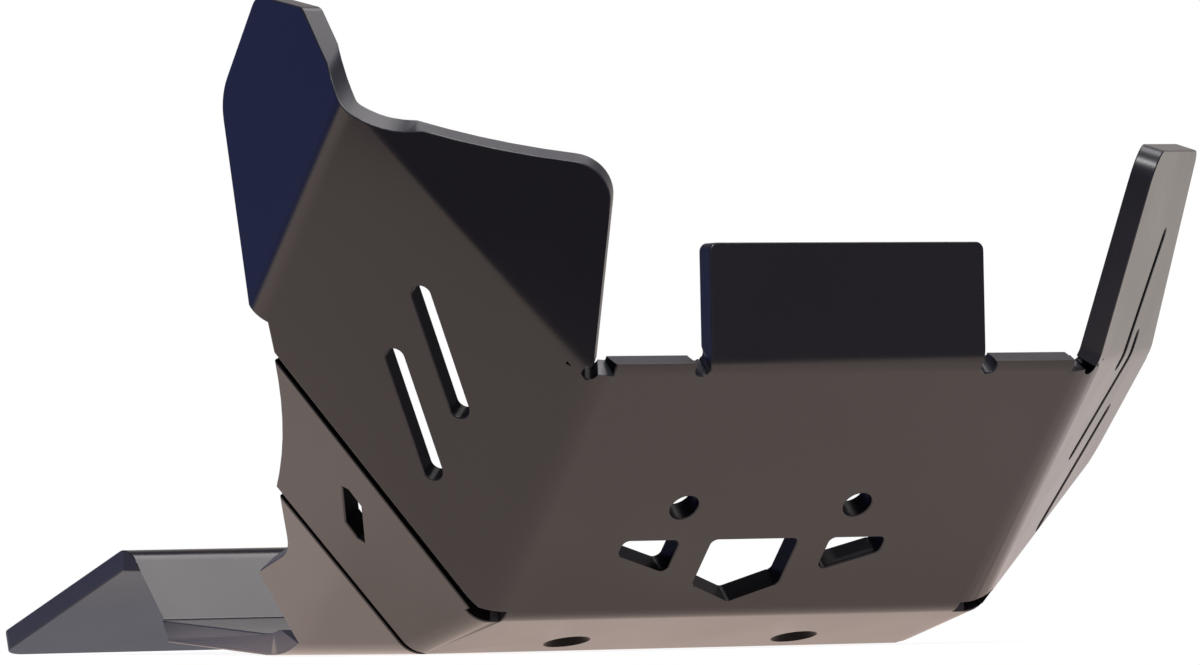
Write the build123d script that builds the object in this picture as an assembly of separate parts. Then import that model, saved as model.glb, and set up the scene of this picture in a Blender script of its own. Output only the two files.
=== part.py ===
from build123d import *
import math
import os

# Motorcycle skid plate: one folded sheet of 8 mm black plastic.
# X points to the photo's right, Y to the rear wheel, Z up. The origin is on the underside of the flat floor.

# sheet
thickness = 8.0
bend_radius = 12.0
soft_radius = 24.0
shield_radius = 26.0
kink_radius = 10.0
seat_radius = 10.0
ridge_radius = 2.0
slit_gap = 2.8
corner_gap = 3.6
relief_dia = 6.0

# front plate and tab
plate_width = 203.0
plate_slope = 45.4
plate_length = 121.7
tab_width = 110.0
tab_height = 42.0
tab_corner = 3.0
tab_relief_x = 57.5
side_curl = 22.0

# belly: strip with the screws, floor, rise, ridge and tail
strip_length = 54.0
strip_pitch = 12.6
floor_kink = 180.0
floor_corner = 171.0
floor_middle = 115.0
floor_end = 357.0
floor_end_rise = 5.0
riser_bevel = 38.5
riser_run = 20.5
ridge_y = floor_end + riser_run
ridge_z = 32.2
tail_run = 108.5
tail_end = ridge_y + tail_run
tail_end_z = 0.2
neck_width = 96.0
tail_width = 104.0
tail_corner = 9.0

# side flaps on the belly
flap_turn = 50.4
flap_b_seam = 119.0
flap_b_lean = 13.5
flap_b_rear = 77.0
scallop = 4.0
flap_c_front = 75.0
flap_c_waist = (32.0, 48.5)
flap_c_heel = (67.5, 39.5)
flap_c_rear = 79.0
flap_c_waist_round = 30.0
flap_c_heel_round = 5.0
window_length = 25.0
window_width = 7.8
window_cut = 5.5
window_at = (18.0, 55.5)
window_angle = 39.0

# wings, measured on the sheet from the corner at the foot of the front plate
wing_turn = 42.2
wing_seam = (61.0, 102.0)
ear_fold = 115.0
ear_end = 174.0
shield_fold_top = (174.2, ear_fold - 7.0)
valley_low = (169.6, ear_fold - 8.0)
valley_radius = 40.0
ear_turn = 47.8
ear_start = 74.0
ear_outline = [(176.5, 45.0), (157.0, 73.5), (113.0, 70.0)]
ear_corners = [6.0, 8.0, 16.0]
shield_fold_low = 117.0
shield_turn = 14.8
shield_tip = (54.5, 56.2)
shield_corner = 14.0
shield_hollow = 3.0
shield_top_short = 7.0
right_seam = (8.0, 100.0)
right_seam_round = 16.0
guard_fold_rear = (53.0, 115.5)
guard_turn = 12.0
guard_tip = (-17.0, 77.6)
guard_rear_top = (88.0, 77.0)
guard_corner = 10.0
slot_width = 7.0
slot_length = 53.0
slot_angle = 37.5
left_slots = [(96.6, 50.5), (67.3, 50.3)]
right_slots = [(28.5, 63.5), (67.0, 59.0), (106.5, 66.0)]

# openings in the front plate
group_shift = -5.0
round_hole_dia = 11.0
round_hole_half_pitch = 35.0
round_hole_up = 53.0
group_top = 37.0
home_half = 17.5
home_side = 15.0
home_tip = 6.5
side_in = 30.5
side_out = 53.0
side_low = 21.0
side_mid = 30.0
opening_corner = 2.5

# screws through the belly
screw_hole_dia = 9.0
screw_head_dia = 17.0
screw_half_pitch = 46.5
screw_from_fold = 39.0

half = plate_width / 2
corner_z = strip_length * math.sin(math.radians(strip_pitch))
strip_y = strip_length * math.cos(math.radians(strip_pitch))


def set_back(radius, turn):
    return radius * math.tan(math.radians(turn / 2))


def outline(points, corners):
    face = Face(Wire.make_polygon([Vector(*p) for p in points], close=True))
    for point, radius in corners:
        spot = Vector(*point)
        nearest = sorted(face.vertices(), key=lambda v: (Vector(v) - spot).length)[0]
        face = face.fillet_2d(radius, [nearest])
    return face


def folded(points, radii):
    inside = []
    corners = []
    ways = [(Vector(*b) - Vector(*a)).normalized() for a, b in zip(points, points[1:])]
    ups = [Vector(-way.Y, way.X) for way in ways]
    for i, point in enumerate(points):
        before = ups[max(i - 1, 0)]
        after = ups[min(i, len(ups) - 1)]
        step = (before + after) * (thickness / (1 + before.dot(after)))
        inside.append((point[0] + step.X, point[1] + step.Y))
    for i, radius in enumerate(radii, start=1):
        rises = ways[i - 1].cross(ways[i]).Z > 0
        corners.append((points[i], radius))
        corners.append((inside[i], radius - thickness if rises else radius + thickness))
    return outline([*points, *reversed(inside)], corners)


def sheet(frame, face):
    return frame * Pos(0, 0, -thickness) * extrude(face, amount=thickness, dir=(0, 0, 1))


def bend(frame, start, end, turn, radius):
    back = set_back(radius, turn)
    middle = Pos((start + end) / 2, -back, -thickness / 2)
    section = middle * Rot(90, 0, 0) * Rectangle(end - start, thickness)
    return frame * revolve(section, Axis((0, -back, -radius), (-1, 0, 0)), turn)


def edge_frame(y, z, slope):
    lean = math.radians(slope)
    along = (0, -math.cos(lean), math.sin(lean))
    outward = (0, -math.sin(lean), -math.cos(lean))
    return Location(Plane((-half, y, z), x_dir=along, z_dir=outward))


def cutter(frame, face):
    return frame * Pos(0, 0, -3 * thickness) * extrude(face, amount=6 * thickness, dir=(0, 0, 1))


def beyond(foot, tip, frame_one, frame_two, way):
    along = (tip - foot).normalized()
    facing = Plane(frame_one).z_dir + Plane(frame_two).z_dir
    side = facing.cross(along).normalized()
    frame = Location(Plane(foot, x_dir=along, z_dir=along.cross(side)))
    length = (tip - foot).length + 4 * thickness
    depth = 20 * thickness
    return frame * Pos(length / 2 - thickness, way * (depth - slit_gap) / 2, 0) * Box(length, depth, depth)


# frames of the panels: x runs up or forward along the fold, y outward from it, z out of the sheet
front_edge = edge_frame(0, corner_z, plate_slope)
strip_edge = edge_frame(0, corner_z, strip_pitch)
floor_edge = edge_frame(strip_y, 0, 0)
wing = front_edge * Rot(-wing_turn, 0, 0)

# seams between wing and flap B; the right flaps turn until they meet their seam
corner = Vector(-half, 0, corner_z)
kink = Vector(-half, strip_y, 0)
left_tip = (wing * Pos(wing_seam[0], wing_seam[1], 0)).position
right_tip = (wing * Pos(right_seam[0], right_seam[1], 0)).position
right_reach = (strip_edge.inverse() * Location(right_tip)).position
right_turn = math.degrees(math.atan2(-right_reach.Z, right_reach.Y))
right_b_seam = math.hypot(right_reach.Y, right_reach.Z)

# folded strip from the tab to the tail
lean = math.radians(plate_slope)
top_y = -plate_length * math.cos(lean)
top_z = corner_z + plate_length * math.sin(lean)
back_tab = set_back(bend_radius, 90 - plate_slope)
flat_y = -(plate_length - back_tab) * math.cos(lean)
flat_z = corner_z + (plate_length - back_tab) * math.sin(lean)
foot = [(0, corner_z), (strip_y, 0), (floor_kink, 0), (floor_end, floor_end_rise)]
rear = [(ridge_y, ridge_z), (tail_end, tail_end_z)]
long_radii = [bend_radius, kink_radius, bend_radius, seat_radius, ridge_radius]
long_face = folded([(flat_y, flat_z), *foot, *rear], long_radii)
across = Location(Plane((0, 0, 0), x_dir=(0, 1, 0), z_dir=(1, 0, 0)))
belly = across * extrude(long_face, amount=half, both=True)
back_a = set_back(soft_radius, wing_turn)
front_half = half - back_a


def plan_side(turn):
    floor_half = half - set_back(bend_radius, turn)
    front_part = [(-front_half, -2 * half), (-front_half, corner_gap), (-floor_half, corner_gap)]
    front_part = front_part + [(-floor_half, floor_corner)]
    rear_part = [(-neck_width / 2, floor_end), (-tail_width / 2, ridge_y), (-tail_width / 2, 2 * tail_end)]
    return front_part + rear_part


plan = outline(plan_side(flap_turn) + [(-x, y) for x, y in reversed(plan_side(right_turn))], [])
belly = belly & extrude(plan, amount=400, both=True)
tail_edges = [e for e in belly.edges() if abs(e.length - thickness) < 0.01 and e.center().Y > ridge_y + tail_run / 2]
belly = fillet(tail_edges, tail_corner)

# bevel behind both side edges of the riser
riser_rise = ridge_z - floor_end_rise
riser_lift = thickness * math.hypot(riser_run, riser_rise) / riser_run
riser_low = Vector(-neck_width / 2, floor_end, floor_end_rise + riser_lift)
riser_high = Vector(-tail_width / 2, ridge_y, ridge_z + riser_lift)
bevel_way = Vector(math.sin(math.radians(riser_bevel)), math.cos(math.radians(riser_bevel)), 0)
bevel_out = (riser_high - riser_low).cross(bevel_way).normalized()
bevel_face = Location(Plane(riser_low, x_dir=bevel_way, z_dir=bevel_out))
bevel = bevel_face * Pos(0, 0, half / 2) * Box(4 * half, 4 * half, half)
riser_front = floor_end - 2 * thickness
riser_room = Pos(-half, (riser_front + ridge_y) / 2, ridge_z / 2) * Box(2 * half, ridge_y - riser_front, ridge_z - 1)
bevel = bevel & riser_room
belly = belly - bevel - mirror(bevel, Plane.YZ)

# tab
tab_foot = (top_y / 2, (corner_z + top_z) / 2)
tab_line = FilletPolyline(tab_foot, (top_y, top_z), (top_y, top_z + tab_height), radius=bend_radius)
tab_strip = make_face(offset(tab_line, amount=thickness, side=Side.RIGHT).edges())
tab = across * extrude(tab_strip, amount=tab_width / 2, both=True)
tab = fillet(tab.edges().filter_by(Axis.Y).group_by(Axis.Z)[-1], tab_corner)
top_edge = Location(Plane((0, top_y, top_z), x_dir=(1, 0, 0), z_dir=Plane(front_edge).z_dir))
curl_edge = top_edge * Pos(0, set_back(bend_radius, side_curl) - back_tab, 0)
curl = bend(curl_edge, -front_half, -tab_relief_x, side_curl, bend_radius)


# belly flaps of one side, drawn on the left: B beside the screw strip, C beside the floor
def belly_flaps(turn, seam_lean, seam_length, wing_tip):
    flap_b = strip_edge * Rot(-turn, 0, 0)
    flap_c = floor_edge * Rot(-turn, 0, 0)
    back = set_back(bend_radius, turn)
    way = Plane(flap_b).z_dir.cross(Plane(flap_c).z_dir)
    rear_lean = way.dot(Plane(flap_b).x_dir) / way.dot(Plane(flap_b).y_dir)
    front_lean = way.dot(Plane(flap_c).x_dir) / way.dot(Plane(flap_c).y_dir)
    kink_tip = (flap_c * Pos(front_lean * flap_c_front, flap_c_front, 0)).position

    low = (-strip_length + back * rear_lean, back)
    seam_low = (back * seam_lean / seam_length, back)
    tip = (seam_lean, seam_length)
    rear = (-strip_length + flap_b_rear * rear_lean, flap_b_rear)
    middle = ((tip[0] + rear[0]) / 2, (tip[1] + rear[1]) / 2 - scallop)
    b_face = make_face([*Polyline(rear, low, seam_low, tip).edges(), ThreePointArc(tip, middle, rear)])
    flap = sheet(flap_b, b_face) + bend(strip_edge, -strip_length, -corner_gap, turn, bend_radius)
    flap = flap - beyond(corner, wing_tip, wing, flap_b, -1) - beyond(kink, kink_tip, flap_b, flap_c, 1)

    front = (front_lean * flap_c_front, flap_c_front)
    waist = (-flap_c_waist[0], flap_c_waist[1])
    heel = (-flap_c_heel[0], flap_c_heel[1])
    foot = [(-flap_c_rear, back), (front_lean * back, back)]
    c_face = outline([front, waist, heel, *foot], [(waist, flap_c_waist_round), (heel, flap_c_heel_round)])
    c_bend = bend(floor_edge, strip_y - floor_corner, 0, turn, bend_radius)
    out = half + back * math.cos(math.radians(turn))
    end = strip_y + flap_c_rear
    run = [(-half, 0), (-out - thickness / 2, 0), (-out - thickness / 2, end), (-out, end)]
    run = run + [(back - half, floor_corner), (0, floor_corner), (0, 0)]
    c_bend = c_bend & extrude(outline(run, []), amount=half, both=True)
    second = sheet(flap_c, c_face) + c_bend - beyond(kink, kink_tip, flap_b, flap_c, -1)
    return flap + second


left_flaps = belly_flaps(flap_turn, flap_b_lean, flap_b_seam, left_tip)
right_flaps = belly_flaps(right_turn, right_reach.X, right_b_seam, right_tip)
flap_b = strip_edge * Rot(-flap_turn, 0, 0)
right_flap_b = strip_edge * Rot(-right_turn, 0, 0)

# left wing with its upright ear and front shield
seam_slope = wing_seam[0] / wing_seam[1]
seam_low = (back_a * seam_slope, back_a)
back_ear = set_back(bend_radius, ear_turn)
back_shield = set_back(shield_radius, shield_turn)
fold_run = shield_fold_top[0] - shield_fold_low
fold_rise = shield_fold_top[1]
fold_length = math.hypot(fold_run, fold_rise)
inset = back_shield * fold_length / fold_rise
ear_line = ear_fold - back_ear
front_low = (shield_fold_low + back_a * fold_run / fold_rise - inset, back_a)
front_high = (shield_fold_top[0] - inset, fold_rise)
wing_top = [front_low, front_high, (ear_end, ear_line), (ear_start, ear_line)]
valley = wing * Pos(valley_low[0] + valley_radius, valley_low[1], 0) * Cylinder(valley_radius, 8 * thickness)
wing_face = outline([seam_low, *wing_top, wing_seam], [])
ear_edge = wing * Pos(0, ear_fold, 0)
ear = ear_edge * Rot(-ear_turn, 0, 0)
ear_points = [(ear_start, back_ear), (ear_end, back_ear), *ear_outline]
ear_face = outline(ear_points, list(zip(ear_outline, ear_corners)))
fold_angle = math.degrees(math.atan2(-fold_rise, -fold_run))
shield_edge = wing * Pos(shield_fold_low, 0, 0) * Rot(0, 0, fold_angle)
shield = shield_edge * Rot(-shield_turn, 0, 0)
shield_foot = -(plate_length - shield_fold_low) * fold_run / fold_length
shield_tip_at = (-shield_tip[0], shield_tip[1])
shield_valley = Vector(shield_top_short - fold_length, back_shield)
shield_base = Vector(shield_foot, back_shield)
shield_top = Vector(*shield_tip_at)
shield_dip = (shield_top + shield_valley) / 2
shield_dip = shield_dip + (shield_base - shield_dip).normalized() * shield_hollow
shield_lines = Polyline(shield_valley, shield_base, shield_top).edges()
shield_face = make_face([*shield_lines, ThreePointArc(shield_top, shield_dip, shield_valley)]).faces()[0]
shield_end = sorted(shield_face.vertices(), key=lambda v: (Vector(v) - shield_top).length)[0]
shield_face = shield_face.fillet_2d(shield_corner, [shield_end])
front_bend = bend(front_edge, corner_gap, plate_length - back_tab, wing_turn, soft_radius)
left_wing = sheet(wing, wing_face) + front_bend - beyond(corner, left_tip, wing, flap_b, 1)
left_wing = left_wing + sheet(ear, ear_face)
left_wing = left_wing + bend(ear_edge, ear_start, ear_end, ear_turn, bend_radius)
left_wing = left_wing + sheet(shield, shield_face)
left_wing = left_wing + bend(shield_edge, -fold_length, shield_foot, shield_turn, shield_radius)
left_wing = left_wing - valley

# right wing, drawn on the left and mirrored: one tall guard above the lower panel
fold_a, fold_b = guard_fold_rear
guard_run = plate_length - fold_a
guard_length = math.hypot(guard_run, fold_b)
back_guard = set_back(soft_radius, guard_turn)
guard_inset = back_guard * guard_length / fold_b
lower_low = (back_a * right_seam[0] / right_seam[1], back_a)
lower_front = (plate_length - back_a * guard_run / fold_b - guard_inset, back_a)
lower_points = [lower_low, lower_front, (fold_a - guard_inset, fold_b), right_seam]
lower_face = outline(lower_points, [(right_seam, right_seam_round)])
guard_angle = math.degrees(math.atan2(-fold_b, guard_run))
guard_edge = wing * Pos(plate_length, 0, 0) * Rot(0, 0, guard_angle)
guard = guard_edge * Rot(-guard_turn, 0, 0)
guard_points = [(-guard_length, back_guard), (0, back_guard)]
guard_top = [(-guard_tip[0], guard_tip[1]), (-guard_rear_top[0], guard_rear_top[1])]
guard_face = outline([*guard_points, *guard_top], [(guard_top[0], guard_corner), (guard_top[1], guard_corner)])
right_wing = sheet(wing, lower_face) + front_bend + sheet(guard, guard_face)
right_wing = right_wing + bend(guard_edge, -guard_length, 0, guard_turn, soft_radius)
right_wing = right_wing - beyond(corner, right_tip, wing, right_flap_b, 1)

# slots in the wings
slot_face = SlotOverall(slot_length, slot_width)
for x, y in left_slots:
    left_wing = left_wing - cutter(wing * Pos(x, y, 0) * Rot(0, 0, slot_angle), slot_face)
for x, y in right_slots:
    right_wing = right_wing - cutter(wing * Pos(x, y, 0) * Rot(0, 0, slot_angle), slot_face)

# window in flap B
window_points = [(-window_length / 2, -window_width / 2), (window_length / 2 - window_cut, -window_width / 2)]
window_points = window_points + [(window_length / 2, window_width / 2 - window_cut / 2)]
window_points = window_points + [(-x, -y) for x, y in window_points]
window_face = outline(window_points, [])
window = cutter(flap_b * Pos(-window_at[0], window_at[1], 0) * Rot(0, 0, window_angle), window_face)

left = left_wing + left_flaps - window + curl
right = right_wing + right_flaps + curl
body = belly + tab + left + mirror(right, Plane.YZ)

# round reliefs at the top corners of the front plate and beside the tab
hole = Cylinder(relief_dia / 2, 6 * thickness)
cuts = front_edge * Rot(-wing_turn / 2, 0, 0) * Pos(plate_length - back_tab, 0, 0) * hole
cuts = cuts + front_edge * Pos(plate_length - back_tab / 2, tab_relief_x - half, 0) * hole
cuts = cuts + mirror(cuts, Plane.YZ)
body = body - cuts

# openings in the front plate
front = Location(Plane((group_shift, 0, corner_z), x_dir=(1, 0, 0), z_dir=Plane(front_edge).z_dir))
round_hole = Circle(round_hole_dia / 2)
side_points = [(side_in, group_top), (side_in, side_low), (side_out, side_mid), (side_out, group_top)]
side_face = outline(side_points, [(p, opening_corner) for p in side_points])
home_points = [(-home_half, group_top), (home_half, group_top), (home_half, home_side)]
home_points = home_points + [(0, home_tip), (-home_half, home_side)]
home_face = outline(home_points, [(p, opening_corner) for p in home_points])
openings = cutter(front, home_face)
for way in (-1, 1):
    openings = openings + cutter(front * Pos(way * round_hole_half_pitch, round_hole_up, 0), round_hole)
openings = openings + cutter(front, side_face) + cutter(front, mirror(side_face, Plane.YZ))
body = body - openings

# countersunk screw holes in the belly strip
strip_mid = strip_edge * Pos(-screw_from_fold, -half, 0)
for way in (-1, 1):
    spot = strip_mid * Pos(0, way * screw_half_pitch, 0)
    depth = (screw_head_dia - screw_hole_dia) / 2
    body = body - spot * Cylinder(screw_hole_dia / 2, 4 * thickness)
    body = body - spot * Pos(0, 0, -depth / 2) * Cone(screw_hole_dia / 2, screw_head_dia / 2, depth)


# origin on the flat floor's underside
body = Pos(0, -floor_middle, 0) * body
print("volume mm3", round(body.volume), "solids", len(body.solids()))
os.makedirs("parts", exist_ok=True)
export_step(body, "parts/plate.step")
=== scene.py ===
# %% [markdown]
# # A folded skid plate
# The object is one sheet of black polyethylene, 8 mm thick, routed to a flat outline and then
# folded warm over a bar, so that it wraps the belly of a motorcycle. This lesson loads the
# finished CAD solid, gives the sheet its two real surfaces, the satin skin and the routed cut
# edge, and sets it in a small white studio.

import math

import bmesh
import bpy
from mathutils import Matrix, Vector
from mathutils.bvhtree import BVHTree


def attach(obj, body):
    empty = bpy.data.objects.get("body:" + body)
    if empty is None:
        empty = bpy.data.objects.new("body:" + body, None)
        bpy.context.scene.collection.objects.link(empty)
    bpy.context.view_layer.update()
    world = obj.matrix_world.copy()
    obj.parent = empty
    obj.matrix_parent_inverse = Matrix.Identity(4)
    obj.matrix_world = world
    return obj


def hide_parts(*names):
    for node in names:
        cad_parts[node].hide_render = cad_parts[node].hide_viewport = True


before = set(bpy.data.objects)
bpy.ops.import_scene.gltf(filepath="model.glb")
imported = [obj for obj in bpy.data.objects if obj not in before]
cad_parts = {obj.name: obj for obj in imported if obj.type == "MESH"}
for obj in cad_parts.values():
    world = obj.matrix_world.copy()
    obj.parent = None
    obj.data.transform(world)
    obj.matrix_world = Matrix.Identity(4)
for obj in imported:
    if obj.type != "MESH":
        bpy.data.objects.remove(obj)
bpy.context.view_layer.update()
MM = 0.001

# %% [markdown]
# ## Three helpers
# Colours are easiest to choose as the hex values that a colour picker shows, but a shader works
# with linear light, so one function turns the one into the other. Every node tree below is built
# by one more function, which adds a node, sets its options and either fills or links its inputs.
# The third turns the real size of a pattern into the scale that a noise node asks for.


# %% Colour, node and scale helpers
def linear(hex_colour):
    channels = [int(hex_colour[i:i + 2], 16) / 255 for i in (1, 3, 5)]
    light = [c / 12.92 if c <= 0.04045 else ((c + 0.055) / 1.055) ** 2.4 for c in channels]
    return (*light, 1.0)


def add_node(tree, kind, settings=None, inputs=None):
    made = tree.nodes.new(kind)
    for name, value in (settings or {}).items():
        setattr(made, name, value)
    for key, value in (inputs or {}).items():
        if isinstance(value, bpy.types.NodeSocket):
            tree.links.new(value, made.inputs[key])
        else:
            made.inputs[key].default_value = value
    return made


def per_metre(size_mm):
    return 1 / (size_mm * MM)


print("black in linear light:", [round(c, 4) for c in linear("#1a1a1c")])

# %% [markdown]
# ## The satin skin
# Extruded high-density polyethylene comes off polished rollers and cools to a satin skin: almost
# black, with a soft sheen, a faint cloudiness over tens of millimetres and a very fine grain. A
# mirror-like black or a flat grey would both look wrong, so the sheen is one roughness value with
# small clouds in it, and the grain is a shallow bump. The real grain is about 0.3 mm and is drawn
# at 0.9 mm, the finest that still shows.

# %% Satin polyethylene skin
GRAIN_MM, GRAIN_DEPTH_MM, GRAIN_STRENGTH = 0.9, 0.05, 0.12
CLOUD_MM, CLOUD_DARK, CLOUD_PALE = 45.0, "#161618", "#1d1c1d"
SKIN_SMOOTHEST, SKIN_ROUGHEST = 0.19, 0.24
PLASTIC_IOR = 1.52
COLOUR_MIX = {"data_type": "RGBA"}


def fresh_material(name):
    material = bpy.data.materials.new(name)
    material.use_nodes = True
    material.node_tree.nodes.clear()
    return material, material.node_tree


skin, tree = fresh_material("satin_polyethylene_skin")
place = add_node(tree, "ShaderNodeTexCoord").outputs["Object"]
clouds = add_node(tree, "ShaderNodeTexNoise", inputs={
    "Vector": place, "Scale": per_metre(CLOUD_MM), "Detail": 3.0, "Roughness": 0.55})
grain = add_node(tree, "ShaderNodeTexNoise", inputs={
    "Vector": place, "Scale": per_metre(GRAIN_MM), "Detail": 2.0, "Roughness": 0.6})
tone = add_node(tree, "ShaderNodeMix", COLOUR_MIX, {
    0: clouds.outputs["Fac"], 6: linear(CLOUD_DARK), 7: linear(CLOUD_PALE)})
sheen = add_node(tree, "ShaderNodeMapRange", inputs={
    "Value": clouds.outputs["Fac"], "From Min": 0.3, "From Max": 0.7,
    "To Min": SKIN_SMOOTHEST, "To Max": SKIN_ROUGHEST})
relief = add_node(tree, "ShaderNodeBump", inputs={
    "Height": grain.outputs["Fac"], "Strength": GRAIN_STRENGTH,
    "Distance": GRAIN_DEPTH_MM * MM})
shader = add_node(tree, "ShaderNodeBsdfPrincipled", inputs={
    "Base Color": tone.outputs[2], "Roughness": sheen.outputs["Result"],
    "IOR": PLASTIC_IOR, "Normal": relief.outputs["Normal"]})
add_node(tree, "ShaderNodeOutputMaterial", inputs={"Surface": shader.outputs["BSDF"]})
print("made", skin.name, "grain", GRAIN_MM, "mm")

# %% [markdown]
# ## The routed edge
# Every outline, slot and hole was cut by a router bit. The cutter leaves the plastic duller than
# the skin, with shallow lines that run along the edge, in the plane of the sheet. The lines need
# a coordinate that goes from one skin to the other, so the material reads an attribute named
# through, which the next step stores on the mesh: 0 on one skin, 1 on the other. The walls of
# slots, holes, slits and countersinks get little light and look nearly black, so the same finish
# is made twice: once for the open outline, and once darker and duller as painted shade for those
# walls.

# %% Routed polyethylene edge
SHEET_MM = 8.0
CUTTER_LINE_MM, CUTTER_DEPTH_MM, CUTTER_STRENGTH = 0.8, 0.04, 0.15
WANDER_MM, WANDER_TURN = 12.0, 9.0
CUT_ROUGHNESS = 0.34


def routed_finish(name, dark, pale, shine):
    material, tree = fresh_material(name)
    through = add_node(tree, "ShaderNodeAttribute", {"attribute_name": "through"}).outputs["Fac"]
    place = add_node(tree, "ShaderNodeTexCoord").outputs["Object"]
    wander = add_node(tree, "ShaderNodeTexNoise", inputs={
        "Vector": place, "Scale": per_metre(WANDER_MM), "Detail": 2.0})
    lines = add_node(tree, "ShaderNodeMath", {"operation": "MULTIPLY"}, {
        0: through, 1: math.tau * SHEET_MM / CUTTER_LINE_MM})
    bent = add_node(tree, "ShaderNodeMath", {"operation": "MULTIPLY_ADD"}, {
        0: wander.outputs["Fac"], 1: WANDER_TURN, 2: lines.outputs["Value"]})
    wave = add_node(tree, "ShaderNodeMath", {"operation": "SINE"}, {0: bent.outputs["Value"]})
    tone = add_node(tree, "ShaderNodeMix", COLOUR_MIX, {
        0: wander.outputs["Fac"], 6: linear(dark), 7: linear(pale)})
    relief = add_node(tree, "ShaderNodeBump", inputs={
        "Height": wave.outputs["Value"], "Strength": CUTTER_STRENGTH,
        "Distance": CUTTER_DEPTH_MM * MM})
    shader = add_node(tree, "ShaderNodeBsdfPrincipled", inputs={
        "Base Color": tone.outputs[2], "Roughness": CUT_ROUGHNESS, "IOR": PLASTIC_IOR,
        "Specular IOR Level": shine, "Normal": relief.outputs["Normal"]})
    add_node(tree, "ShaderNodeOutputMaterial", inputs={"Surface": shader.outputs["BSDF"]})
    return material


edge = routed_finish("routed_polyethylene_edge", "#1e1f23", "#292a30", 0.42)
# painted shade: a darker, duller copy of the edge finish for the walls that lie in shade
shaded_wall = routed_finish("routed_polyethylene_painted_shade_wall", "#060608", "#0a0a0c", 0.08)
print("made", edge.name, "and", shaded_wall.name, "with a cutter line each", CUTTER_LINE_MM, "mm")

# %% [markdown]
# ## Which face is which
# A folded sheet has two skins, each one smooth surface from end to end, because every bend is
# rounded. Everything else is cut edge. So the faces fall into groups at each sharp corner, and
# the two groups with a large area are the skins. Painting faces by hand would also work, but a
# node tree finds them by that rule and still does when the sheet changes size. It also finds the
# enclosed walls: groups of cut faces that mostly look across at the sheet again within 45 mm, and
# the two countersinks, which it knows by their area of 230 square millimetres. These walls get
# painted shade, a darker and duller copy of the edge finish.

# %% A node tree with named inputs
MORE = {"data_type": "FLOAT", "operation": "GREATER_THAN"}
SAME = {"data_type": "FLOAT", "operation": "EQUAL"}
PER_FACE = {"data_type": "FLOAT", "domain": "FACE"}

sorter = bpy.data.node_groups.new("skins_and_cut_edges", "GeometryNodeTree")
sockets = sorter.interface
sockets.new_socket("Geometry", in_out="INPUT", socket_type="NodeSocketGeometry")
for label in ("Weld distance", "Corner angle", "Skin area", "Hole width", "Sink area"):
    sockets.new_socket(label, in_out="INPUT", socket_type="NodeSocketFloat")
# the third material holds the painted shade for the enclosed walls
for label in ("Skin finish", "Edge finish", "Painted shade finish"):
    sockets.new_socket(label, in_out="INPUT", socket_type="NodeSocketMaterial")
sockets.new_socket("Geometry", in_out="OUTPUT", socket_type="NodeSocketGeometry")
given = add_node(sorter, "NodeGroupInput").outputs
print("inputs:", [item.name for item in sockets.items_tree if item.in_out == "INPUT"])

# %% Nodes that find the two skins
weld = add_node(sorter, "GeometryNodeMergeByDistance", inputs={
    "Geometry": given["Geometry"], "Distance": given["Weld distance"]})
corner = add_node(sorter, "GeometryNodeInputMeshEdgeAngle")
sharp = add_node(sorter, "FunctionNodeCompare", MORE, {
    0: corner.outputs["Unsigned Angle"], 1: given["Corner angle"]})
group = add_node(sorter, "GeometryNodeEdgesToFaceGroups", inputs={
    "Boundary Edges": sharp.outputs["Result"]})
area = add_node(sorter, "GeometryNodeInputMeshFaceArea")
total = add_node(sorter, "GeometryNodeAccumulateField", PER_FACE, {
    0: area.outputs["Area"], "Group ID": group.outputs["Face Group ID"]})
is_skin = add_node(sorter, "FunctionNodeCompare", MORE, {
    0: total.outputs["Total"], 1: given["Skin area"]})
on_face = add_node(sorter, "GeometryNodeCaptureAttribute", {"domain": "FACE"}, {
    "Geometry": weld.outputs["Geometry"]})
on_face.capture_items.new("BOOLEAN", "Skin")
on_face.capture_items.new("INT", "Group")
sorter.links.new(is_skin.outputs["Result"], on_face.inputs["Skin"])
sorter.links.new(group.outputs["Face Group ID"], on_face.inputs["Group"])
print("skins are found by", len(sorter.nodes), "nodes")

# %% Nodes that store the way through the sheet
last = add_node(sorter, "GeometryNodeAttributeStatistic", PER_FACE, {
    "Geometry": on_face.outputs["Geometry"], "Selection": on_face.outputs["Skin"],
    2: on_face.outputs["Group"]})
far_side = add_node(sorter, "FunctionNodeCompare", SAME, {
    0: on_face.outputs["Group"], 1: last.outputs["Max"], "Epsilon": 0.5})
far_face = add_node(
    sorter, "GeometryNodeFieldOnDomain", {"data_type": "BOOLEAN", "domain": "FACE"},
    {0: far_side.outputs["Result"]})
kept = add_node(
    sorter, "GeometryNodeStoreNamedAttribute", {"data_type": "FLOAT", "domain": "POINT"},
    {"Geometry": on_face.outputs["Geometry"], "Name": "through", "Value": far_face.outputs[0]})
print("the attribute", kept.inputs["Name"].default_value, "is 1 on the far skin")

# %% Nodes that find the enclosed walls, which get painted shade
RAY_LIFT = 0.2 * MM
SINK_MARGIN = 20.0 * MM ** 2
HALF = 0.5

facing = add_node(sorter, "GeometryNodeInputNormal").outputs["Normal"]
start = add_node(sorter, "ShaderNodeVectorMath", {"operation": "MULTIPLY_ADD"}, {
    0: facing, 1: (RAY_LIFT, RAY_LIFT, RAY_LIFT),
    2: add_node(sorter, "GeometryNodeInputPosition").outputs["Position"]})
across_hole = add_node(sorter, "GeometryNodeRaycast", inputs={
    "Target Geometry": weld.outputs["Geometry"], "Source Position": start.outputs["Vector"],
    "Ray Direction": facing, "Ray Length": given["Hole width"]})
hit_area = add_node(sorter, "ShaderNodeMath", {"operation": "MULTIPLY"}, {
    0: area.outputs["Area"], 1: across_hole.outputs["Is Hit"]})
hit_total = add_node(sorter, "GeometryNodeAccumulateField", PER_FACE, {
    0: hit_area.outputs["Value"], "Group ID": group.outputs["Face Group ID"]})
half = add_node(sorter, "ShaderNodeMath", {"operation": "MULTIPLY"}, {
    0: total.outputs["Total"], 1: HALF})
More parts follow.
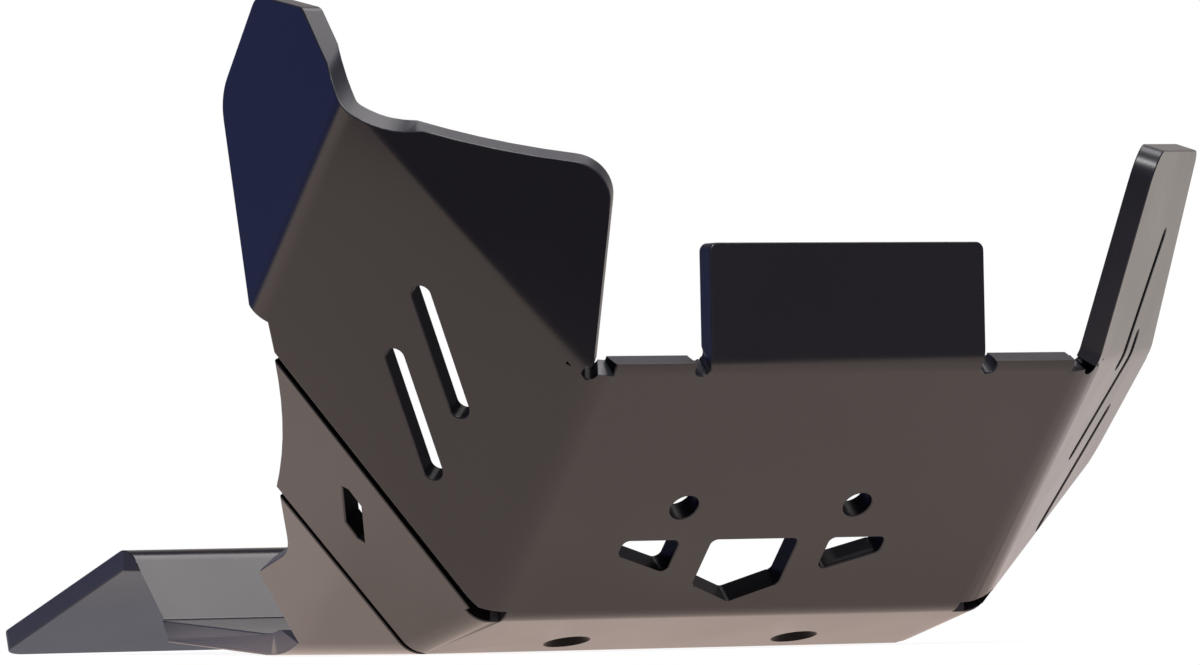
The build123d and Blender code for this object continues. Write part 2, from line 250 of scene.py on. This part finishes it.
is_facing = add_node(sorter, "FunctionNodeCompare", MORE, {
    0: hit_total.outputs["Total"], 1: half.outputs["Value"]})
is_sink = add_node(sorter, "FunctionNodeCompare", SAME, {
    0: total.outputs["Total"], 1: given["Sink area"], "Epsilon": SINK_MARGIN})
# mask of the enclosed walls and countersinks that get painted shade
painted_shade_walls = add_node(sorter, "FunctionNodeBooleanMath", {"operation": "OR"}, {
    0: is_facing.outputs["Result"], 1: is_sink.outputs["Result"]})
print("rays start", RAY_LIFT / MM, "mm off each face")

# %% Nodes that give out the finishes and the painted shade of the walls
plain = add_node(sorter, "GeometryNodeRealizeInstances", inputs={
    "Geometry": kept.outputs["Geometry"]})
cut = add_node(sorter, "GeometryNodeSetMaterial", inputs={
    "Geometry": plain.outputs["Geometry"], "Material": given["Edge finish"]})
# painted shade: enclosed walls and countersinks get the darker, duller copy of the edge finish
shaded_inside = add_node(sorter, "GeometryNodeSetMaterial", inputs={
    "Geometry": cut.outputs["Geometry"], "Selection": painted_shade_walls.outputs["Boolean"],
    "Material": given["Painted shade finish"]})
done = add_node(sorter, "GeometryNodeSetMaterial", inputs={
    "Geometry": shaded_inside.outputs["Geometry"], "Selection": on_face.outputs["Skin"],
    "Material": given["Skin finish"]})
add_node(sorter, "NodeGroupOutput", inputs={"Geometry": done.outputs["Geometry"]})
print("node tree", sorter.name, "has", len(sorter.nodes), "nodes")

# %% [markdown]
# ## Dress the sheet
# The CAD node is loose triangles with knife-sharp corners. A real routed edge is broken by a
# scraper or a small round-over bit, and that thin rounded line is what catches the light. So a
# welded copy of the sheet goes through the node tree, its flat triangles are joined into whole
# panels, and a bevel of about half a millimetre rounds each cut corner. Weighted normals keep
# the panels flat and let only the bends and the round-overs shade smoothly.

# %% A welded copy with its two finishes and its painted-shade walls
CORNER_DEG = 38.0


def to_plain_mesh(thing, name):
    thing_now = thing.evaluated_get(bpy.context.evaluated_depsgraph_get())
    mesh = bpy.data.meshes.new_from_object(thing_now)
    mesh.name = name
    thing.modifiers.clear()
    thing.data = mesh
    return mesh


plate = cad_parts["plate"]
sheet = bpy.data.objects.new("folded_sheet", plate.data.copy())
bpy.context.scene.collection.objects.link(sheet)
sheet.data.materials.clear()
sort_step = sheet.modifiers.new("skins_and_cut_edges", "NODES")
sort_step.node_group = sorter
# the last material given here is the painted shade for the enclosed walls
wanted = {
    "Weld distance": 0.02 * MM, "Corner angle": math.radians(CORNER_DEG), "Skin area": 0.06,
    "Hole width": 45.0 * MM, "Sink area": 230.0 * MM ** 2,
    "Skin finish": skin, "Edge finish": edge, "Painted shade finish": shaded_wall}
for item in sockets.items_tree:
    if item.in_out == "INPUT" and item.name in wanted:
        sort_step[item.identifier] = wanted[item.name]
mesh = to_plain_mesh(sheet, "folded_sheet")
names = [m.name for m in mesh.materials]
share = {n: 0.0 for n in names}
for face in mesh.polygons:
    share[names[face.material_index]] += face.area
print("area in square metres:", {n: round(a, 4) for n, a in share.items()})

# %% Whole panels
SLIVER_MM = 0.1
FLAT_DEG = 0.4

panels = bmesh.new()
panels.from_mesh(mesh)
untouched = BVHTree.FromBMesh(panels)
bmesh.ops.remove_doubles(panels, verts=panels.verts[:], dist=SLIVER_MM * MM)
bmesh.ops.dissolve_limit(panels, angle_limit=math.radians(FLAT_DEG), verts=panels.verts[:],
                         edges=panels.edges[:], delimit={"MATERIAL"})
print("panels:", len(panels.faces), "faces")

# %% [markdown]
# ## Round the cut corners
# A bevel needs room. Where three short edges crowd together, as at the ends of the slits and in
# the corner reliefs, a scraper can't get in and the bevel would fold over itself. So each edge
# between a skin and a cut gets a bevel weight only where its line runs on smoothly or its
# neighbours are long, and a few tries take the weight off wherever a face still turned over.

# %% Where the round-over has room
TIGHT_MM = 1.2
SMOOTH_DEG = 25.0
LEAST_DEG, MOST_DEG = 60, 120


def is_corner(line):
    return len(line.link_faces) == 2 and line.calc_face_angle() > math.radians(CORNER_DEG)


def has_room(line):
    skins = sum(face.material_index == names.index(skin.name) for face in line.link_faces)
    if not is_corner(line) or skins != 1:
        return False
    if not LEAST_DEG < math.degrees(line.calc_face_angle()) < MOST_DEG:
        return False
    for point in line.verts:
        meeting = [other for other in point.link_edges if is_corner(other)]
        shortest = min(other.calc_length() for other in meeting)
        if len(meeting) == 2:
            ways = [(other.other_vert(point).co - point.co) for other in meeting]
            turn = math.pi - ways[0].angle(ways[1])
            if turn < math.radians(SMOOTH_DEG):
                continue
        if shortest < TIGHT_MM * MM:
            return False
    return True


weight = panels.edges.layers.float.new("bevel_weight_edge")
for line in panels.edges:
    line[weight] = float(has_room(line))
    line.smooth = not is_corner(line)
for face in panels.faces:
    face.smooth = True
print("rounded lines:", sum(line[weight] > 0 for line in panels.edges))

# %% Round over and shade
ROUND_OVER_MM = 0.45
FLAT_FACE_WEIGHT = 90


def rounded_mesh():
    panels.to_mesh(mesh)
    sheet.data = mesh
    round_over = sheet.modifiers.new("round_over", "BEVEL")
    round_over.width = ROUND_OVER_MM * MM
    round_over.segments = 2
    round_over.limit_method = "WEIGHT"
    round_over.use_clamp_overlap = False
    round_over.material = names.index(edge.name)
    even = sheet.modifiers.new("even_shading", "WEIGHTED_NORMAL")
    even.weight = FLAT_FACE_WEIGHT
    even.keep_sharp = True
    triangles = sheet.modifiers.new("triangles", "TRIANGULATE")
    triangles.min_vertices = 5
    triangles.keep_custom_normals = True
    made = bpy.data.meshes.new_from_object(
        sheet.evaluated_get(bpy.context.evaluated_depsgraph_get()))
    sheet.modifiers.clear()
    return made


print("round-over of", ROUND_OVER_MM, "mm")

# %% Try, check, and keep
CROWD_MM = 2.5
STRAY_MM = 0.35
SPECK_MM2 = 0.2
FOLDED_COSINE = 0.2
TRIES = 6


def turned_over(made):
    spots = []
    for face in made.polygons:
        _, facing, _, gap = untouched.find_nearest(face.center)
        folded = facing.dot(face.normal) < FOLDED_COSINE and face.area > SPECK_MM2 * MM ** 2
        if folded or gap > STRAY_MM * MM:
            spots += [made.vertices[i].co.copy() for i in face.vertices]
    return spots


for attempt in range(TRIES):
    rounded = rounded_mesh()
    spots = turned_over(rounded)
    print("try", attempt, "faces", len(rounded.polygons), "points turned over", len(spots))
    if not spots:
        break
    for line in panels.edges:
        crowd = any((spot - point.co).length < CROWD_MM * MM
                    for point in line.verts for spot in spots)
        if line[weight] > 0 and crowd:
            line[weight] = 0.0
rounded.name = "folded_sheet"
sheet.data = rounded
print("dressed sheet:", len(rounded.vertices), "points,", len(rounded.polygons), "faces")

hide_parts("plate")
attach(sheet, "root")

# %% [markdown]
# ## The studio
# A black satin plastic shows its shape by what it mirrors. Here the sheet stands near the front
# of a white light table, which glows a little warm, and less so behind the sheet and to its
# right. The room around it is dim: blue at the back left, grey on the right, with a pale far wall
# at the back right. One large soft light hangs overhead and a small one hangs in front. Faces
# that look down mirror the table, upright faces mirror the dim room, and faces that look up
# mirror the lights. Camera rays see the table and the room as plain white, so the background is
# as clean as in the photograph. Only the soft shadow round the object stays, and the table is
# clear from below, so that the underside can be looked at.

# %% The light table's shape
CAMERA_TURN = math.radians(29.74)
FRONT_LEFT, FRONT_RIGHT, TABLE_BACK, TABLE_HALF = -0.42, -0.15, 1.15, 0.9
TABLE_DROP = 0.3 * MM

view_right = Vector((math.cos(CAMERA_TURN), -math.sin(CAMERA_TURN), 0))
view_depth = Vector((math.sin(CAMERA_TURN), math.cos(CAMERA_TURN), 0))
corners = [view_right * side + view_depth * depth - Vector((0, 0, TABLE_DROP))
           for side, depth in ((-TABLE_HALF, FRONT_LEFT), (TABLE_HALF, FRONT_RIGHT),
                               (TABLE_HALF, TABLE_BACK), (-TABLE_HALF, TABLE_BACK))]
table_mesh = bpy.data.meshes.new("light_table")
table_mesh.from_pydata(corners, [], [(0, 1, 2, 3)])
table = bpy.data.objects.new("light_table", table_mesh)
bpy.context.scene.collection.objects.link(table)
print("table from", FRONT_LEFT, "on the left and", FRONT_RIGHT, "on the right to", TABLE_BACK, "m")

# %% The glow that the sheet mirrors
WARM_GLOW, REAR_GLOW, SIDE_GLOW, CARD = "#f6dfd4", "#a4a3ad", "#c6bcb7", "#928c89"
REAR_FROM, REAR_TO = 0.18, 0.34
SIDE_FROM, SIDE_TO = 0.12, 0.38
FRONT_FROM, FRONT_TO, FRONT_GLOW, MAIN_GLOW = -0.13, -0.05, 1.06, 1.22

glass, tree = fresh_material("white_light_table")
place = add_node(tree, "ShaderNodeTexCoord").outputs["Object"]
along = add_node(tree, "ShaderNodeSeparateXYZ", inputs={"Vector": place})
rearward = add_node(tree, "ShaderNodeMapRange", inputs={
    "Value": along.outputs["Y"], "From Min": REAR_FROM, "From Max": REAR_TO})
beside = add_node(tree, "ShaderNodeMapRange", inputs={
    "Value": along.outputs["X"], "From Min": SIDE_FROM, "From Max": SIDE_TO})
farther = add_node(tree, "ShaderNodeMath", {"operation": "MAXIMUM"}, {
    0: rearward.outputs["Result"], 1: beside.outputs["Result"]})
strong = add_node(tree, "ShaderNodeMapRange", inputs={
    "Value": along.outputs["Y"], "From Min": FRONT_FROM, "From Max": FRONT_TO,
    "To Min": FRONT_GLOW, "To Max": MAIN_GLOW})
rim_tone = add_node(tree, "ShaderNodeMix", COLOUR_MIX, {
    0: beside.outputs["Result"], 6: linear(REAR_GLOW), 7: linear(SIDE_GLOW)})
glow_tone = add_node(tree, "ShaderNodeMix", COLOUR_MIX, {
    0: farther.outputs["Value"], 6: linear(WARM_GLOW), 7: rim_tone.outputs[2]})
glow = add_node(tree, "ShaderNodeEmission", inputs={
    "Color": glow_tone.outputs[2], "Strength": strong.outputs["Result"]})
card = add_node(tree, "ShaderNodeBsdfDiffuse", inputs={"Color": linear(CARD)})
lit = add_node(tree, "ShaderNodeAddShader", inputs={
    0: glow.outputs["Emission"], 1: card.outputs["BSDF"]})
print("glow strength from", FRONT_GLOW, "at the front to", MAIN_GLOW)

# %% The white floor that the camera sees
WHITE = (1, 1, 1, 1)
PALE_LEVEL = 0.93
PAPER = (0.22, 0.22, 0.22, 1)
SHADOW_MIDDLE, SHADOW_FROM, SHADOW_TO = (0.0, 0.07, 0.0), 0.22, 0.45

white = add_node(tree, "ShaderNodeEmission", inputs={"Color": WHITE, "Strength": 1.0})
pale = add_node(tree, "ShaderNodeEmission", inputs={"Color": WHITE, "Strength": PALE_LEVEL})
paper = add_node(tree, "ShaderNodeBsdfDiffuse", inputs={"Color": PAPER})
shaded = add_node(tree, "ShaderNodeAddShader", inputs={
    0: pale.outputs["Emission"], 1: paper.outputs["BSDF"]})
reach = add_node(tree, "ShaderNodeVectorMath", {"operation": "DISTANCE"}, {
    0: place, 1: SHADOW_MIDDLE})
away = add_node(tree, "ShaderNodeMapRange", inputs={
    "Value": reach.outputs["Value"], "From Min": SHADOW_FROM, "From Max": SHADOW_TO})
clean = add_node(tree, "ShaderNodeMixShader", inputs={
    0: away.outputs["Result"], 1: shaded.outputs["Shader"], 2: white.outputs["Emission"]})
clear = add_node(tree, "ShaderNodeBsdfTransparent", inputs={"Color": WHITE})
under = add_node(tree, "ShaderNodeNewGeometry").outputs["Backfacing"]
floor = add_node(tree, "ShaderNodeMixShader", inputs={
    0: under, 1: clean.outputs["Shader"], 2: clear.outputs["BSDF"]})
path = add_node(tree, "ShaderNodeLightPath").outputs
seen = add_node(tree, "ShaderNodeMixShader", inputs={
    0: path["Is Camera Ray"], 1: lit.outputs["Shader"], 2: floor.outputs["Shader"]})
add_node(tree, "ShaderNodeOutputMaterial", inputs={"Surface": seen.outputs["Shader"]})
table_mesh.materials.append(glass)
print("made", glass.name, "with a soft shadow out to", SHADOW_TO, "m")

# %% The dim walls
BLUE, DUSK, GREY = (0.10, 0.135, 0.42, 1), (0.13, 0.12, 0.17, 1), (0.22, 0.20, 0.27, 1)
BACKWARD_SHARE = -0.5
BLUE_TO, DUSK_FROM, GREY_FROM, GREY_FULL = -1.05, -0.5, 0.0, 0.9
BLUE_LOW, BLUE_HIGH = 0.2, 0.45

room = bpy.data.worlds.new("dim_blue_room")
bpy.context.scene.world = room
room.use_nodes = True
tree = room.node_tree
tree.nodes.clear()
look = add_node(tree, "ShaderNodeTexCoord").outputs["Generated"]
turned = add_node(tree, "ShaderNodeVectorRotate", {"rotation_type": "Z_AXIS"}, {
    "Vector": look, "Angle": CAMERA_TURN})
side = add_node(tree, "ShaderNodeSeparateXYZ", inputs={"Vector": turned.outputs["Vector"]})
sideways = add_node(tree, "ShaderNodeMath", {"operation": "MULTIPLY_ADD"}, {
    0: side.outputs["Y"], 1: BACKWARD_SHARE, 2: side.outputs["X"]})
past_blue = add_node(tree, "ShaderNodeMapRange", inputs={
    "Value": sideways.outputs["Value"], "From Min": BLUE_TO, "From Max": DUSK_FROM})
above_blue = add_node(tree, "ShaderNodeMapRange", inputs={
    "Value": side.outputs["Z"], "From Min": BLUE_LOW, "From Max": BLUE_HIGH})
off_blue = add_node(tree, "ShaderNodeMath", {"operation": "MAXIMUM"}, {
    0: past_blue.outputs["Result"], 1: above_blue.outputs["Result"]})
to_grey = add_node(tree, "ShaderNodeMapRange", inputs={
    "Value": sideways.outputs["Value"], "From Min": GREY_FROM, "From Max": GREY_FULL})
left_wall = add_node(tree, "ShaderNodeMix", COLOUR_MIX, {
    0: off_blue.outputs["Value"], 6: BLUE, 7: DUSK})
walls = add_node(tree, "ShaderNodeMix", COLOUR_MIX, {
    0: to_grey.outputs["Result"], 6: left_wall.outputs[2], 7: GREY})
print("room walls go from blue at the back left to grey on the right")

# %% The far wall, and white for the camera
FAR_LEFT, FAR_RIGHT = (0.07, 0.09, 0.20, 1), (0.68, 0.62, 0.58, 1)
FAR_FROM, FAR_FULL = 0.72, 0.92
PALE_FROM, PALE_FULL = -0.4, 0.05

beyond = add_node(tree, "ShaderNodeMapRange", inputs={
    "Value": side.outputs["Y"], "From Min": FAR_FROM, "From Max": FAR_FULL})
backdrop = add_node(tree, "ShaderNodeMapRange", inputs={
    "Value": side.outputs["X"], "From Min": PALE_FROM, "From Max": PALE_FULL})
far_wall = add_node(tree, "ShaderNodeMix", COLOUR_MIX, {
    0: backdrop.outputs["Result"], 6: FAR_LEFT, 7: FAR_RIGHT})
all_round = add_node(tree, "ShaderNodeMix", COLOUR_MIX, {
    0: beyond.outputs["Result"], 6: walls.outputs[2], 7: far_wall.outputs[2]})
path = add_node(tree, "ShaderNodeLightPath").outputs
dim = add_node(tree, "ShaderNodeBackground", inputs={
    "Color": all_round.outputs[2], "Strength": 1.0})
white = add_node(tree, "ShaderNodeBackground", inputs={"Color": WHITE, "Strength": 1.0})
seen = add_node(tree, "ShaderNodeMixShader", inputs={
    0: path["Is Camera Ray"], 1: dim.outputs["Background"], 2: white.outputs["Background"]})
add_node(tree, "ShaderNodeOutputWorld", inputs={"Surface": seen.outputs["Shader"]})
print("far wall goes from", FAR_LEFT[:3], "on the left to", FAR_RIGHT[:3], "on the right")

# %% Soft light overhead and in front
OVERHEAD_SIZE, OVERHEAD_WATTS, OVERHEAD_TINT = (1.1, 1.0), 15.5, (1.0, 0.96, 0.97)
OVERHEAD_RIGHT, OVERHEAD_DEPTH = 0.6, 0.5
FRONT_SIZE, FRONT_WATTS = 0.5, 40.0
LAMP_RIGHT, LAMP_DEPTH = 0.2, -1.55
LAMP_HEIGHT = Vector((0, 0, 1.8))

lamp = bpy.data.lights.new("overhead_softbox", "AREA")
lamp.shape = "RECTANGLE"
lamp.size, lamp.size_y = OVERHEAD_SIZE
lamp.energy = OVERHEAD_WATTS
lamp.color = OVERHEAD_TINT
softbox = bpy.data.objects.new("overhead_softbox", lamp)
softbox.location = view_right * OVERHEAD_RIGHT + view_depth * OVERHEAD_DEPTH + LAMP_HEIGHT
softbox.rotation_euler = (0, 0, -CAMERA_TURN)
bpy.context.scene.collection.objects.link(softbox)

small = bpy.data.lights.new("front_softbox", "AREA")
small.shape = "SQUARE"
small.size = FRONT_SIZE
small.energy = FRONT_WATTS
front_box = bpy.data.objects.new("front_softbox", small)
front_box.location = view_right * LAMP_RIGHT + view_depth * LAMP_DEPTH + LAMP_HEIGHT
bpy.context.scene.collection.objects.link(front_box)
print("softboxes of", lamp.energy, "W overhead and", small.energy, "W in front")

# %% [markdown]
# ## The camera
# A product photograph like this one is taken from far away with a long lens, almost level with
# the table and some 30 degrees to the side of the front plate. Matching the corners of the
# panels gave the numbers below. The camera is aimed straight at the middle of its picture, so it
# needs no lens shift.

# %% Where the camera stands
IMAGE_WIDE, IMAGE_HIGH = 1200, 665
CAMERA_RISE = math.radians(0.22)
CAMERA_ROLL = math.radians(-1.18)
DISTANCE = 3.825
PIXELS_PER_METRE = 2827.0
FOLD_MIDDLE = Vector((0.0, -0.115, 0.01178))
FOLD_PIXEL = (733.4, 614.5)

ahead = view_depth * math.cos(CAMERA_RISE) - Vector((0, 0, math.sin(CAMERA_RISE)))
level_up = view_right.cross(ahead)
across = math.cos(CAMERA_ROLL) * view_right + math.sin(CAMERA_ROLL) * level_up
upward = math.cos(CAMERA_ROLL) * level_up - math.sin(CAMERA_ROLL) * view_right
stand = FOLD_MIDDLE - DISTANCE * ahead
aim = (FOLD_MIDDLE + across * ((IMAGE_WIDE / 2 - FOLD_PIXEL[0]) / PIXELS_PER_METRE)
       + upward * ((FOLD_PIXEL[1] - IMAGE_HIGH / 2) / PIXELS_PER_METRE))
ahead = (aim - stand).normalized()
across = (across - across.dot(ahead) * ahead).normalized()
upward = across.cross(ahead)
print("camera stands at", [round(v, 3) for v in stand])

# %% Camera and lens
lens = bpy.data.cameras.new("long_lens")
lens.sensor_fit = "HORIZONTAL"
lens.sensor_width = 36.0
lens.lens = lens.sensor_width * PIXELS_PER_METRE * DISTANCE / IMAGE_WIDE
camera = bpy.data.objects.new("camera", lens)
turn = Matrix((across, upward, -ahead)).transposed()
camera.matrix_world = Matrix.Translation(stand) @ turn.to_4x4()
bpy.context.scene.collection.objects.link(camera)
bpy.context.scene.camera = camera
bpy.context.scene.view_settings.view_transform = "Standard"
print("lens", round(lens.lens, 1), "mm")
